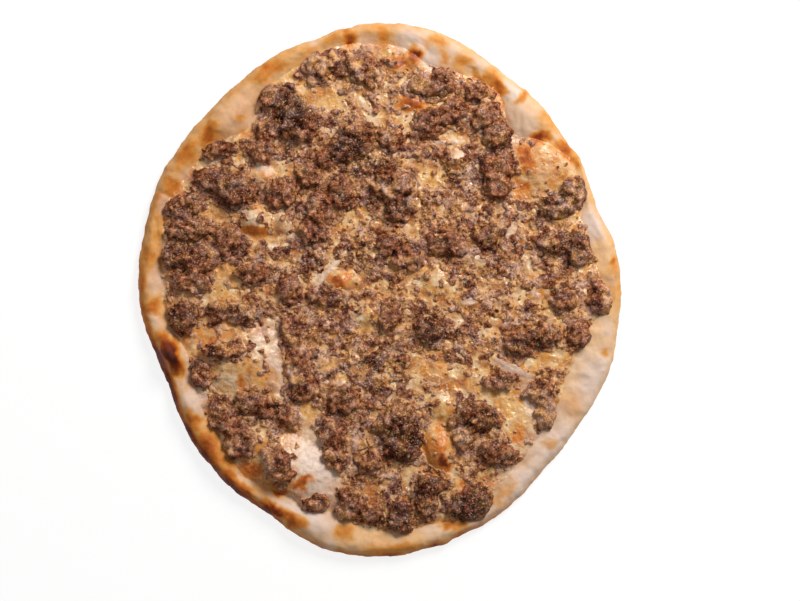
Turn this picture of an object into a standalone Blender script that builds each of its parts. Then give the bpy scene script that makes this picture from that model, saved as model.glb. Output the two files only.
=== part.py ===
"""A round flatbread, baked with a sheet of melted cheese and heaps of minced meat on it.

The bread lies on Z = 0 with its longer way along Y. Lengths are in metres and angles in degrees,
counted anticlockwise from +X. Three kinds of piece are made:

  bread     one solid of dough: a flat bottom, a raised crust and the blisters that baking blew up
  cheese    one thin sheet on the bread, with the loose crumbs of meat that melted into it
  meat_NN   the heaps of minced meat, each a low core with its crumbs fused on
"""

import math
import random

import bmesh
import bpy
from mathutils import Euler, Matrix, Vector, noise

GAP = 0.0003  # between pieces that lie on each other

# The bread's outline: a radius for each direction, longer along Y and a little square.
MEAN_RADIUS = 0.142
LENGTHENING = 0.0074
SQUARENESS = 0.0029
# Dents and bulges of the outline: direction, change of the radius, half width of the change.
OUTLINE_SWELLS = [
    (22, -0.0046, 8),
    (39, -0.0013, 7),
    (62, -0.0022, 9),
    (104, -0.0020, 7),
    (150, 0.0037, 17),
    (201, -0.0050, 11),
    (242, -0.0026, 9),
    (285, -0.0012, 12),
    (314, -0.0014, 6),
    (338, 0.0020, 9),
]

# The crust is the bare border between the topping and the bread's edge.
CRUST_WIDTH = 0.0122
CRUST_WIDTH_SWELLS = [
    (31, -0.0094, 10),
    (50, 0.0105, 5),
    (61, -0.0030, 5),
    (76, 0.0060, 6),
    (101, -0.0040, 10),
    (131, 0.0090, 7),
    (160, -0.0038, 7),
    (198, 0.0030, 12),
    (222, 0.0020, 7),
    (234, -0.0040, 5),
    (257, 0.0080, 10),
    (294, -0.0052, 8),
    (337, 0.0078, 13),
    (358, -0.0062, 5),
]
DOUGH_THICKNESS = 0.0062  # under the topping
CREST_RISE = 0.0040  # of the crust's crest over the dough inside it
CREST_RISE_SWELLS = [
    (0, -0.0018, 30),
    (60, -0.0006, 20),
    (140, 0.0014, 20),
    (185, 0.0016, 14),
    (228, 0.0022, 16),
    (262, 0.0008, 12),
    (320, -0.0016, 22),
]
FULL_CRUST = 0.010  # a crust narrower than this rises and rounds less
# Rings of the crust from the topping outwards: the first by their share of the crust's width,
# then by their distance from the edge. Each has its share of the crest's height.
CRUST_TOP = [(0.30, 0.80), (0.58, 1.0)]
CRUST_SIDE = [(0.0034, 0.94), (0.0012, 0.72), (0.0, 0.42), (0.0009, 0.14), (0.0034, 0.0)]
RINGS = 12  # rows of triangles from the middle to the topping's edge

# Blisters in the dough: x, y, half length, half width, turn, rise.
BLISTERS = [
    (-0.077, -0.040, 0.026, 0.025, 0, 0.0065),  # the broad one on the left
    (-0.061, -0.038, 0.007, 0.026, 9, 0.0050),  # and the ridge at its right side
    (-0.050, -0.101, 0.033, 0.019, -28, 0.0068),  # the long one at the lower left
    (-0.070, 0.040, 0.012, 0.010, -40, 0.0060),
    (-0.055, 0.038, 0.007, 0.007, 0, 0.0035),
    (-0.066, 0.065, 0.008, 0.006, 10, 0.0035),
    (-0.022, 0.005, 0.011, 0.008, 15, 0.0048),
    (-0.006, -0.014, 0.010, 0.008, 20, 0.0040),
    (0.031, 0.008, 0.015, 0.009, -35, 0.0050),
    (0.051, -0.006, 0.008, 0.006, 20, 0.0035),
    (0.056, 0.018, 0.008, 0.007, -50, 0.0040),
    (0.071, 0.036, 0.007, 0.008, 20, 0.0030),
    (0.043, 0.073, 0.009, 0.008, 30, 0.0042),
    (0.034, -0.090, 0.010, 0.014, 5, 0.0070),
    (0.036, -0.066, 0.008, 0.009, 0, 0.0030),
    (0.093, 0.072, 0.019, 0.018, 0, 0.0050),  # the toasted one at the upper right
    (0.074, -0.044, 0.013, 0.006, -25, 0.0035),
    (0.015, 0.128, 0.012, 0.010, 10, 0.0035),
    (0.018, 0.107, 0.009, 0.007, 0, 0.0028),
    (-0.118, -0.036, 0.008, 0.014, 28, 0.0060),  # the darkest one, on the crust
    (-0.106, -0.063, 0.011, 0.012, 0, 0.0036),
    (-0.085, 0.097, 0.016, 0.012, 40, 0.0030),
    (0.080, 0.100, 0.014, 0.016, 40, 0.0030),
    (-0.040, -0.132, 0.016, 0.010, -20, 0.0028),
]
DOUGH_WAVE, DOUGH_WAVELENGTH = 0.0007, 0.034

CHEESE_THICKNESS = 0.0017
CHEESE_EDGE_THICKNESS = 0.0009
CHEESE_WAVE, CHEESE_WAVELENGTH = 0.0005, 0.016
CRUMBS_IN_CHEESE = 30
LOOSE_CRUMB_RISE = 0.0007  # of a loose crumb's middle over the cheese
LOOSE_CRUMB_HEIGHT = 0.42  # of its width
LEVEL_GROUND = 0.0011  # most change of height round a loose crumb
# Where the dough shows bare, with no meat: x, y, half length, half width, turn.
BARE_DOUGH = [
    (-0.061, -0.038, 0.008, 0.026, 9),
    (-0.036, -0.101, 0.013, 0.020, 10),
    (-0.040, -0.131, 0.020, 0.009, -15),
    (0.078, 0.092, 0.010, 0.016, 25),
]

# Heaps of meat, as mounds that run together: x, y, half length, half width, turn, height.
HEAPS = [
    # the upper edge
    [
        (-0.035, 0.126, 0.0103, 0.0100, 0, 0.0050),
        (-0.022, 0.129, 0.0105, 0.0095, 0, 0.0052),
        (-0.009, 0.125, 0.0107, 0.0112, 0, 0.0052),
    ],
    [
        (-0.062, 0.109, 0.0097, 0.0089, 0, 0.0050),
        (-0.050, 0.104, 0.0131, 0.0099, -20, 0.0060),
        (-0.046, 0.093, 0.0137, 0.0107, 0, 0.0070),
        (-0.063, 0.091, 0.0099, 0.0098, 0, 0.0044),
        (-0.067, 0.079, 0.0100, 0.0087, 0, 0.0046),
    ],
    [(0.023, 0.115, 0.0103, 0.0071, -5, 0.0038), (0.035, 0.118, 0.0082, 0.0109, 0, 0.0042)],
    [(0.054, 0.112, 0.0081, 0.0074, 5, 0.0045)],
    [(0.028, 0.095, 0.0100, 0.0107, 0, 0.0050), (0.041, 0.101, 0.0107, 0.0087, 0, 0.0044)],
    [(0.060, 0.099, 0.0107, 0.0089, 10, 0.0048), (0.066, 0.088, 0.0096, 0.0098, 0, 0.0055)],
    # above the middle
    [(-0.091, 0.080, 0.0125, 0.0071, 6, 0.0050)],
    [(-0.083, 0.057, 0.0168, 0.0121, -25, 0.0068), (-0.097, 0.063, 0.0096, 0.0073, 0, 0.0046)],
    [
        (-0.015, 0.085, 0.0132, 0.0132, 0, 0.0064),
        (-0.028, 0.075, 0.0111, 0.0080, 20, 0.0046),
        (-0.040, 0.065, 0.0097, 0.0084, 0, 0.0044),
    ],
    [(0.006, 0.086, 0.0089, 0.0081, 0, 0.0042)],
    [(0.008, 0.060, 0.0145, 0.0123, -5, 0.0052), (0.011, 0.046, 0.0114, 0.0103, 15, 0.0042)],
    [(0.066, 0.070, 0.0119, 0.0105, 0, 0.0046), (0.067, 0.058, 0.0107, 0.0081, 0, 0.0048)],
    [(-0.056, 0.055, 0.0113, 0.0107, 20, 0.0048)],
    [
        (-0.034, 0.046, 0.0103, 0.0109, 0, 0.0052),
        (-0.022, 0.055, 0.0098, 0.0105, 0, 0.0044),
        (-0.039, 0.033, 0.0098, 0.0100, 0, 0.0044),
    ],
    # the left side
    [(-0.112, 0.046, 0.0125, 0.0082, 0, 0.0046), (-0.109, 0.034, 0.0162, 0.0085, 0, 0.0046)],
    [
        (-0.115, 0.019, 0.0108, 0.0085, 0, 0.0050),
        (-0.101, 0.016, 0.0119, 0.0097, 0, 0.0048),
        (-0.107, 0.005, 0.0160, 0.0080, 0, 0.0044),
    ],
    [(-0.085, 0.029, 0.0108, 0.0105, 0, 0.0046)],
    [(-0.073, 0.010, 0.0131, 0.0078, 0, 0.0044)],
    [(-0.091, -0.012, 0.0103, 0.0074, 0, 0.0046), (-0.077, -0.014, 0.0121, 0.0088, 0, 0.0054)],
    [(-0.051, 0.001, 0.0085, 0.0113, 0, 0.0044)],
    [(-0.112, -0.016, 0.0103, 0.0137, 0, 0.0054)],
    [(-0.087, -0.034, 0.0145, 0.0062, 4, 0.0040)],
    [(-0.100, -0.048, 0.0083, 0.0107, 25, 0.0044)],
    # the middle and the right side
    [
        (-0.050, -0.024, 0.0089, 0.0131, 5, 0.0040),
        (-0.048, -0.041, 0.0093, 0.0125, 5, 0.0040),
        (-0.043, -0.055, 0.0107, 0.0091, 0, 0.0042),
    ],
    [(-0.030, -0.004, 0.0140, 0.0073, 0, 0.0042)],
    [(0.006, 0.026, 0.0108, 0.0085, 0, 0.0042), (0.015, 0.018, 0.0107, 0.0078, 0, 0.0040)],
    [(0.005, -0.015, 0.0087, 0.0107, 0, 0.0044)],
    [(0.028, -0.022, 0.0095, 0.0103, 0, 0.0050)],
    [(0.038, 0.025, 0.0145, 0.0091, 0, 0.0044)],
    [(0.060, 0.030, 0.0095, 0.0095, 0, 0.0044)],
    [(0.099, 0.047, 0.0125, 0.0080, -10, 0.0050), (0.110, 0.056, 0.0103, 0.0114, 0, 0.0050)],
    [(0.112, 0.024, 0.0095, 0.0119, 0, 0.0050), (0.098, 0.026, 0.0135, 0.0080, -10, 0.0046)],
    [(0.124, -0.004, 0.0085, 0.0131, 15, 0.0044)],
    [(0.105, -0.005, 0.0091, 0.0081, 0, 0.0044)],
    [(0.094, -0.026, 0.0105, 0.0089, 0, 0.0046), (0.080, -0.030, 0.0129, 0.0078, 8, 0.0044)],
    [(0.113, -0.025, 0.0081, 0.0095, 0, 0.0050)],
    [(0.068, -0.052, 0.0125, 0.0064, 5, 0.0042)],
    [(0.091, -0.057, 0.0100, 0.0084, 0, 0.0042), (0.094, -0.069, 0.0076, 0.0132, 0, 0.0044)],
    # the lower edge
    [(-0.072, -0.064, 0.0140, 0.0089, 0, 0.0048)],
    [(-0.088, -0.073, 0.0125, 0.0087, -28, 0.0050), (-0.078, -0.086, 0.0121, 0.0119, 0, 0.0062)],
    [(-0.052, -0.072, 0.0087, 0.0087, 0, 0.0042)],
    [(-0.057, -0.099, 0.0125, 0.0089, -62, 0.0058)],
    [(-0.036, -0.120, 0.0105, 0.0064, 18, 0.0048)],
    [(-0.021, -0.062, 0.0120, 0.0099, 0, 0.0042)],
    [(-0.027, -0.081, 0.0099, 0.0098, 0, 0.0044), (-0.025, -0.095, 0.0095, 0.0103, 0, 0.0046)],
    [(-0.006, -0.097, 0.0103, 0.0096, 0, 0.0046)],
    [(0.010, -0.076, 0.0155, 0.0121, -10, 0.0062), (0.013, -0.089, 0.0125, 0.0103, 0, 0.0062)],
    [(-0.017, -0.120, 0.0089, 0.0125, 0, 0.0052), (-0.005, -0.126, 0.0100, 0.0078, 0, 0.0046)],
    [(0.012, -0.128, 0.0099, 0.0119, 0, 0.0056)],
    [(0.028, -0.111, 0.0107, 0.0091, 0, 0.0052), (0.027, -0.121, 0.0082, 0.0096, 0, 0.0048)],
    [(0.051, -0.121, 0.0160, 0.0121, 12, 0.0062)],
    [(0.053, -0.071, 0.0174, 0.0123, -8, 0.0058), (0.047, -0.083, 0.0078, 0.0093, 0, 0.0048)],
    [(0.067, -0.092, 0.0135, 0.0083, 0, 0.0050)],
]
# A mound's core is a low uneven frustum.
CORE_CORNERS = 7
CORE_FOOT = 0.0015  # how deep it starts under the cheese's top, before it is cut to rest on it
CORE_TOP_WIDTH = 0.60  # of the mound's width
CORE_HEIGHT = 0.80  # of the mound's height
CORE_UNEVENNESS = 0.14  # of its radius
# A crumb is the hull of a few corners.
CRUMB_CORNERS = 6
CRUMB_SINK = 0.25  # of a crumb's radius, of its middle in the core
CRUMB_RADIUS = (0.0026, 0.0036)
CRUMB_STRETCH = (0.85, 1.20)
CRUMB_AREA = 1.8e-4  # of a mound for each crumb on it
CRUMB_OVERHANG = 0.2  # of a crumb's radius past the mound's edge
GOLDEN_ANGLE = math.pi * (3 - math.sqrt(5))
SEED = 21

MATERIALS = {
    "bread": ((0.76, 0.49, 0.27), 0.75),
    "cheese": ((0.82, 0.62, 0.33), 0.45),
    "meat": ((0.26, 0.14, 0.09), 0.70),
}


def clear_scene():
    for old in list(bpy.data.objects):
        bpy.data.objects.remove(old)


def swelling(angle, swells):
    """The sum of rounded swells at an angle in radians."""
    degrees = math.degrees(angle)
    total = 0.0
    for direction, change, half_width in swells:
        away = (degrees - direction + 180) % 360 - 180
        total += change * math.exp(-((away / half_width) ** 2))
    return total


def edge_radius(angle):
    oval = -LENGTHENING * math.cos(2 * angle) + SQUARENESS * math.cos(4 * angle)
    return MEAN_RADIUS + oval + swelling(angle, OUTLINE_SWELLS)


def crust_width(angle):
    return CRUST_WIDTH + swelling(angle, CRUST_WIDTH_SWELLS)


def topping_radius(angle):
    return edge_radius(angle) - crust_width(angle)


def oval_distance(x, y, oval):
    """0 in an oval's middle and 1 on its edge. An oval is x, y, half length, half width, turn."""
    turn = math.radians(oval[4])
    dx, dy = x - oval[0], y - oval[1]
    along = dx * math.cos(turn) + dy * math.sin(turn)
    across = dy * math.cos(turn) - dx * math.sin(turn)
    return math.hypot(along / oval[2], across / oval[3])


def waves(x, y, length, offset):
    return noise.noise(Vector((x / length, y / length, offset)))


def blister_height(x, y):
    tallest = 0.0
    for blister in BLISTERS:
        share = max(0.0, 1 - oval_distance(x, y, blister) ** 2)
        tallest = max(tallest, blister[5] * share**1.4)
    return tallest


def dough_top(x, y):
    wave = DOUGH_WAVE * waves(x, y, DOUGH_WAVELENGTH, 3.0)
    return DOUGH_THICKNESS + wave + blister_height(x, y)


def cheese_thickness(x, y):
    """Thinner towards the edge of the topping and where the dough shows through."""
    share = math.hypot(x, y) / topping_radius(math.atan2(y, x))
    fade = min(1.0, max(0.0, (1.0 - share) / 0.12))
    bare = min([oval_distance(x, y, oval) for oval in BARE_DOUGH])
    fade *= min(1.0, max(0.0, bare - 0.6))
    full = CHEESE_THICKNESS + CHEESE_WAVE * waves(x, y, CHEESE_WAVELENGTH, 8.0)
    return CHEESE_EDGE_THICKNESS + (full - CHEESE_EDGE_THICKNESS) * fade


def cheese_bottom(x, y):
    return dough_top(x, y) + GAP


def cheese_top(x, y):
    return cheese_bottom(x, y) + cheese_thickness(x, y)


def heap_bottom(x, y):
    return cheese_top(x, y) + GAP


def topping_disc(bm):
    """A flat disc of even triangles, as wide as the topping: a fan of six, subdivided and rounded."""
    bmesh.ops.create_circle(bm, cap_ends=True, cap_tris=True, segments=6, radius=1.0)
    bmesh.ops.subdivide_edges(bm, edges=bm.edges, cuts=RINGS - 1, use_grid_fill=True)
    corners = [Vector((math.cos(a), math.sin(a))) for a in (math.pi / 3 * k for k in range(7))]
    first = max(bm.verts, key=lambda v: v.co.length).co.xy
    start = math.atan2(first.y, first.x)
    for vert in bm.verts:
        flat = Matrix.Rotation(-start, 2) @ vert.co.xy
        sector = int(math.degrees(math.atan2(flat.y, flat.x)) % 360 // 60) % 6
        basis = Matrix((corners[sector], corners[sector + 1])).transposed()
        near, far = basis.inverted() @ flat
        ring = near + far
        angle = math.pi / 3 * (sector + (far / ring if ring > 1e-6 else 0))
        radius = ring * topping_radius(angle)
        vert.co = (radius * math.cos(angle), radius * math.sin(angle), 0)


def crust_rings(angle):
    """(radius, height) of each ring of the crust in one direction, from the topping outwards."""
    edge, width = edge_radius(angle), crust_width(angle)
    fullness = min(1.0, width / FULL_CRUST)
    rise = CREST_RISE + swelling(angle, CREST_RISE_SWELLS)
    crest = DOUGH_THICKNESS + rise * fullness
    rings = [(edge - width * (1 - out), crest * share) for out, share in CRUST_TOP]
    rings += [(edge - inside * fullness, crest * share) for inside, share in CRUST_SIDE]
    return rings


def loaf(bm, top_height, lift, foot):
    """The bread's solid form, with top_height(x, y) inside the crust and its crust raised by lift."""
    topping_disc(bm)
    for vert in bm.verts:
        vert.co.z = top_height(vert.co.x, vert.co.y)
    rim = [edge for edge in bm.edges if edge.is_boundary]
    for ring in range(len(CRUST_TOP) + len(CRUST_SIDE)):
        made = bmesh.ops.extrude_edge_only(bm, edges=rim)["geom"]
        rim = [item for item in made if isinstance(item, bmesh.types.BMEdge)]
        for vert in {v for edge in rim for v in edge.verts}:
            angle = math.atan2(vert.co.y, vert.co.x)
            radius, height = crust_rings(angle)[ring]
            x, y = radius * math.cos(angle), radius * math.sin(angle)
            puffed = height / crust_rings(angle)[1][1] * blister_height(x, y)
            lowest = ring == len(CRUST_TOP) + len(CRUST_SIDE) - 1
            vert.co = (x, y, foot if lowest else height + puffed + lift)
    bottom = bmesh.ops.contextual_create(bm, geom=rim)["faces"]
    middle = bmesh.ops.poke(bm, faces=bottom)["verts"]
    middle[0].co = (0, 0, foot)
    bmesh.ops.recalc_face_normals(bm, faces=bm.faces)


def sheet(bm, lower, upper):
    """A closed sheet as wide as the topping, between two heights."""
    topping_disc(bm)
    under = bmesh.ops.duplicate(bm, geom=bm.verts[:] + bm.edges[:] + bm.faces[:])
    twins = under["vert_map"]
    below = {v for v in under["geom"] if isinstance(v, bmesh.types.BMVert)}
    rim = [e for e in bm.edges if e.is_boundary and e.verts[0] not in below]
    for edge in rim:
        a, b = edge.verts
        bm.faces.new((a, b, twins[b], twins[a]))
    for vert in bm.verts:
        vert.co.z = (lower if vert in below else upper)(vert.co.x, vert.co.y)
    bmesh.ops.recalc_face_normals(bm, faces=bm.faces)


def object_of(name, build, *values):
    mesh = bpy.data.meshes.new(name)
    bm = bmesh.new()
    build(bm, *values)
    bm.to_mesh(mesh)
    bm.free()
    made = bpy.data.objects.new(name, mesh)
    bpy.context.scene.collection.objects.link(made)
    return made


def crumb(bm, middle, size, draw):
    """A rough crumb: the hull of a few corners spread over a ball, stretched and turned at random."""
    turn = Euler([draw.uniform(0, math.tau) for _ in range(3)]).to_matrix()
    stretch = Matrix.Diagonal([draw.uniform(*CRUMB_STRETCH) for _ in range(3)])
    for index in range(CRUMB_CORNERS):
        z = 1 - (2 * index + 1) / CRUMB_CORNERS
        wide, angle = math.sqrt(1 - z * z), index * GOLDEN_ANGLE
        corner = turn @ stretch @ Vector((wide * math.cos(angle), wide * math.sin(angle), z))
        bm.verts.new(Vector(middle) + Vector([corner[k] * size[k] for k in range(3)]))
    bmesh.ops.convex_hull(bm, input=bm.verts)
    bmesh.ops.recalc_face_normals(bm, faces=bm.faces)


def core(bm, mound, draw):
    """The low frustum that fills a mound."""
    x, y, half_length, half_width, turn, height = mound
    depth = CORE_FOOT + height * CORE_HEIGHT
    sizes = {"segments": CORE_CORNERS, "radius1": 1.0, "radius2": CORE_TOP_WIDTH, "depth": depth}
    made = bmesh.ops.create_cone(bm, cap_ends=True, cap_tris=False, **sizes)["verts"]
    for vert in made:
        vert.co.xy *= 1 + draw.uniform(-CORE_UNEVENNESS, CORE_UNEVENNESS)
    bmesh.ops.scale(bm, vec=(half_length, half_width, 1.0), verts=made)
    bmesh.ops.rotate(bm, matrix=Matrix.Rotation(math.radians(turn), 3, "Z"), verts=made)
    bmesh.ops.translate(bm, vec=(x, y, cheese_top(x, y) - CORE_FOOT + depth / 2), verts=made)
    bmesh.ops.triangulate(bm, faces=bm.faces)


def crumb_places(mound, draw):
    """(middle, radius) of each crumb on a mound: a spiral of even spacing over its dome."""
    x, y, half_length, half_width, turn, height = mound
    count = max(1, round(math.pi * half_length * half_width / CRUMB_AREA))
    spin = draw.uniform(0, math.tau)
    rotation = Matrix.Rotation(math.radians(turn), 2)
    for index in range(count):
        out = math.sqrt((index + 0.5) / count)
        angle = spin + index * GOLDEN_ANGLE
        radius = draw.uniform(*CRUMB_RADIUS)
        inset = radius * (1 - CRUMB_OVERHANG)
        along = out * math.cos(angle) * (half_length - inset)
        across = out * math.sin(angle) * (half_width - inset)
        place = Vector((x, y)) + rotation @ Vector((along, across))
        slope = min(1.0, (1 - out) / (1 - CORE_TOP_WIDTH))
        over = height * CORE_HEIGHT * slope - radius * CRUMB_SINK
        yield (*place, cheese_top(*place) + over), radius


def joined(name, solid, extras, cutter=None):
    """solid with the extras fused on by one union and, below, cut away where cutter is."""
    group = bpy.data.collections.new(name + "_extras")
    for extra in extras:
        group.objects.link(extra)
    union = solid.modifiers.new("fuse", "BOOLEAN")
    union.operation, union.operand_type, union.collection = "UNION", "COLLECTION", group
    if cutter:
        cut = solid.modifiers.new("rest", "BOOLEAN")
        cut.operation, cut.object = "DIFFERENCE", cutter
    graph = bpy.context.evaluated_depsgraph_get()
    mesh = bpy.data.meshes.new_from_object(solid.evaluated_get(graph))
    solid.modifiers.clear()
    solid.data = mesh
    for extra in extras:
        bpy.data.objects.remove(extra)
    bpy.data.collections.remove(group)
    keep_largest(mesh)


def keep_largest(mesh):
    """Drops loose scraps, so that the mesh is one body."""
    bm = bmesh.new()
    bm.from_mesh(mesh)
    bmesh.ops.triangulate(bm, faces=bm.faces)
    left = set(bm.faces)
    bodies = []
    while left:
        body, front = set(), [left.pop()]
        while front:
            face = front.pop()
            body.add(face)
            around = {f for e in face.edges for f in e.link_faces} & left
            left -= around
            front.extend(around)
        bodies.append(body)
    bodies.sort(key=len)
    scraps = [face for body in bodies[:-1] for face in body]
    bmesh.ops.delete(bm, geom=scraps, context="FACES")
    bm.to_mesh(mesh)
    bm.free()


def heap(name, mounds, ground, draw):
    """One heap of minced meat, resting on the cheese."""
    solid = object_of(name, core, mounds[0], draw)
    extras = [object_of(name + "_core", core, mound, draw) for mound in mounds[1:]]
    for mound in mounds:
        for middle, radius in crumb_places(mound, draw):
            extras.append(object_of(name + "_crumb", crumb, middle, [radius] * 3, draw))
    joined(name, solid, extras, ground)
    return solid


def is_level(x, y, reach):
    around = [(reach, 0), (-reach, 0), (0, reach), (0, -reach)]
    heights = [cheese_top(x + dx, y + dy) for dx, dy in around]
    return max(heights) - min(heights) < LEVEL_GROUND


def crumb_fits(x, y, taken, reach):
    """Whether a loose crumb here lies level, on the topping and clear of the rest."""
    if math.hypot(x, y) > topping_radius(math.atan2(y, x)) - 2 * reach:
        return False
    if any(math.hypot(x - px, y - py) < 2.6 * reach for px, py in taken):
        return False
    if any(oval_distance(x, y, oval) < 1.2 for oval in BARE_DOUGH):
        return False
    for mound in (mound for mounds in HEAPS for mound in mounds):
        clear = (mound[0], mound[1], mound[2] + 1.6 * reach, mound[3] + 1.6 * reach, mound[4])
        if oval_distance(x, y, clear) < 1:
            return False
    return is_level(x, y, reach)


def cheese_sheet(draw):
    """The cheese, with loose crumbs half sunk in it between the heaps."""
    solid = object_of("cheese", sheet, cheese_bottom, cheese_top)
    taken, extras = [], []
    reach = CRUMB_RADIUS[1] * CRUMB_STRETCH[1]
    while len(taken) < CRUMBS_IN_CHEESE:
        x, y = (draw.uniform(-MEAN_RADIUS, MEAN_RADIUS) for _ in range(2))
        if not crumb_fits(x, y, taken, reach):
            continue
        taken.append((x, y))
        wide = draw.uniform(*CRUMB_RADIUS)
        middle = (x, y, cheese_top(x, y) + LOOSE_CRUMB_RISE)
        size = (wide, wide, wide * LOOSE_CRUMB_HEIGHT)
        extras.append(object_of("cheese_crumb", crumb, middle, size, draw))
    joined("cheese", solid, extras)
    return solid


def paint(obj, finish):
    colour, roughness = MATERIALS[finish]
    material = bpy.data.materials.get(finish) or bpy.data.materials.new(finish)
    material.use_nodes = True
    shader = material.node_tree.nodes["Principled BSDF"]
    shader.inputs["Base Color"].default_value = (*colour, 1)
    shader.inputs["Roughness"].default_value = roughness
    obj.data.materials.clear()
    obj.data.materials.append(material)


def centre(objects):
    """Moves all pieces together, so that the bread's box has its middle over the origin."""
    corners = [v.co for v in bpy.data.objects["bread"].data.vertices]
    middle = [(min(c[k] for c in corners) + max(c[k] for c in corners)) / 2 for k in range(2)]
    for obj in objects:
        obj.data.transform(Matrix.Translation((-middle[0], -middle[1], 0)))


def main():
    clear_scene()
    bread = object_of("bread", loaf, dough_top, 0.0, 0.0)
    cheese = cheese_sheet(random.Random(SEED))
    ground = object_of("ground", loaf, heap_bottom, GAP, -DOUGH_THICKNESS)
    meats = []
    for number, mounds in enumerate(HEAPS, 1):
        meats.append(heap(f"meat_{number:02d}", mounds, ground, random.Random(SEED + number)))
    bpy.data.objects.remove(ground)
    centre([bread, cheese] + meats)
    paint(bread, "bread")
    paint(cheese, "cheese")
    for meat in meats:
        paint(meat, "meat")


main()
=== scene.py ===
"""A round flatbread baked with melted cheese and heaps of fried minced meat.

The CAD frame gives every size and place. Lengths are in metres and angles in radians, but the
lists of swells, blisters, marks and lines hold millimetres and degrees. Angles are counted
anticlockwise from +X. Everything is modelled about the point that the bread's outline is drawn
from, and moved into the frame when it is done (see settle).
"""

import math
import random

import bpy
import numpy as np
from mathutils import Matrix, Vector, noise
from mathutils.bvhtree import BVHTree


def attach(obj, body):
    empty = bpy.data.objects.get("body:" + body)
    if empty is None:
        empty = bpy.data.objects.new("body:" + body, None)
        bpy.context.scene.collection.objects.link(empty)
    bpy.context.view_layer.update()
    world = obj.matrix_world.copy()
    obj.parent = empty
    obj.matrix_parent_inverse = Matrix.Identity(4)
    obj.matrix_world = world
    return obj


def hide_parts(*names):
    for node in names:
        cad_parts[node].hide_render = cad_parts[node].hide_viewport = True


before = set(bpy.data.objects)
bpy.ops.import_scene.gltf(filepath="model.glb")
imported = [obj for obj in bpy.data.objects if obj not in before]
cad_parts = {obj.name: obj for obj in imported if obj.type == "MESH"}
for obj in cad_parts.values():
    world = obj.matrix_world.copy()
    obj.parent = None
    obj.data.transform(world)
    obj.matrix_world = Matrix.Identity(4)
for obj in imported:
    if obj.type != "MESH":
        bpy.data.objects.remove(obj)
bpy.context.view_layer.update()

# ---- The bread's form, as the frame has it ----
MM = 0.001  # a millimetre
GAP = 0.0003  # between pieces that lie on each other

MEAN_RADIUS = 0.142
LENGTHENING = 0.0074  # of the outline along Y
SQUARENESS = 0.0029
# Dents and bulges of the outline: direction, change of the radius, half width of the change.
OUTLINE_SWELLS = [
    (22, -4.6, 8), (39, -1.3, 7), (62, -2.2, 9), (104, -2, 7), (150, 3.7, 17), (201, -5, 11),
    (242, -2.6, 9), (285, -1.2, 12), (314, -1.4, 6), (338, 2, 9),
]
CRUST_WIDTH = 0.0122  # from the topping to the bread's edge
CRUST_WIDTH_SWELLS = [
    (31, -9.4, 10), (50, 10.5, 5), (61, -3, 5), (76, 6, 6), (101, -4, 10), (131, 9, 7),
    (160, -3.8, 7), (198, 3, 12), (222, 2, 7), (234, -4, 5), (257, 8, 10), (294, -5.2, 8),
    (337, 7.8, 13), (358, -6.2, 5),
]
DOUGH_THICKNESS = 0.0062  # under the topping
CREST_RISE = 0.0034  # of the crust's crest over the dough inside it
CREST_RISE_SWELLS = [
    (0, -1.8, 30), (60, -0.6, 20), (140, 1.4, 20), (185, 1.6, 14), (228, 2.2, 16), (262, 0.8, 12),
    (320, -1.6, 22),
]
FULL_CRUST = 0.010  # a crust narrower than this rises and rounds less
SLOPE = 0.006  # from the crust's inner edge in to the level dough
FOOT = 0.008  # from the edge in to where the bread stands on its underside
CORNER = 0.0016  # how far the profile's corners are rounded
CRUST_TOP = [(0.30, 0.93), (0.52, 1.0)]  # share of the crust's width, share of its crest's height
# Distance inside the edge, share of the crest's height.
CRUST_SIDE = [(0.0046, 0.94), (0.0020, 0.72), (0.0002, 0.42), (0.0009, 0.14), (0.0034, 0.0)]

# Blisters in the dough: x, y, half length, half width, turn, rise.
BLISTERS = [
    (-77, -40, 26, 25, 0, 6.5),  # the broad one on the left
    (-61, -38, 7, 26, 9, 2.4),  # and the ridge at its right side
    (-50, -101, 33, 19, -28, 6.8),  # the long one at the lower left
    (-70, 40, 12, 10, -40, 6), (-55, 38, 7, 7, 0, 3.5), (-66, 65, 8, 6, 10, 3.5),
    (-22, 5, 11, 8, 15, 4.8), (-6, -14, 10, 8, 20, 4), (31, 6, 16, 10, -35, 2.2),
    (51, -6, 8, 5, 20, 2.2), (56, 18, 9, 8, -50, 2.6), (71, 36, 7, 8, 20, 3),
    (43, 73, 9, 8, 30, 4.2), (34, -90, 10, 14, 5, 7), (36, -66, 8, 9, 0, 3),
    (93, 72, 19, 18, 0, 5),  # the toasted one at the upper right
    (74, -44, 13, 6, -25, 3.5), (20, 132, 8, 8, 10, 3), (10, 127, 6, 5, 10, 2),
    (18, 107, 9, 7, 0, 2.8),
    (-118, -36, 8, 14, 28, 6),  # the darkest one, on the crust
    (-106, -63, 11, 12, 0, 3.6), (-85, 97, 16, 12, 40, 3), (80, 100, 14, 16, 40, 3),
    (-40, -132, 16, 10, -20, 2.8),
]
DOUGH_WAVE, DOUGH_WAVELENGTH = 0.0007, 0.034
UNDERSIDE_DIMPLES = 0.0007  # their depth
# Sizes and heights of the bumps on the surfaces.
CRUST_RELIEFS = [(0.014, 0.0022), (0.0055, 0.0012), (0.0020, 0.00045)]
HEAP_RELIEFS = [(0.0060, 0.0026), (0.0018, 0.0008)]
CARPET_RELIEFS = [(0.0016, 0.0006)]

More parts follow.
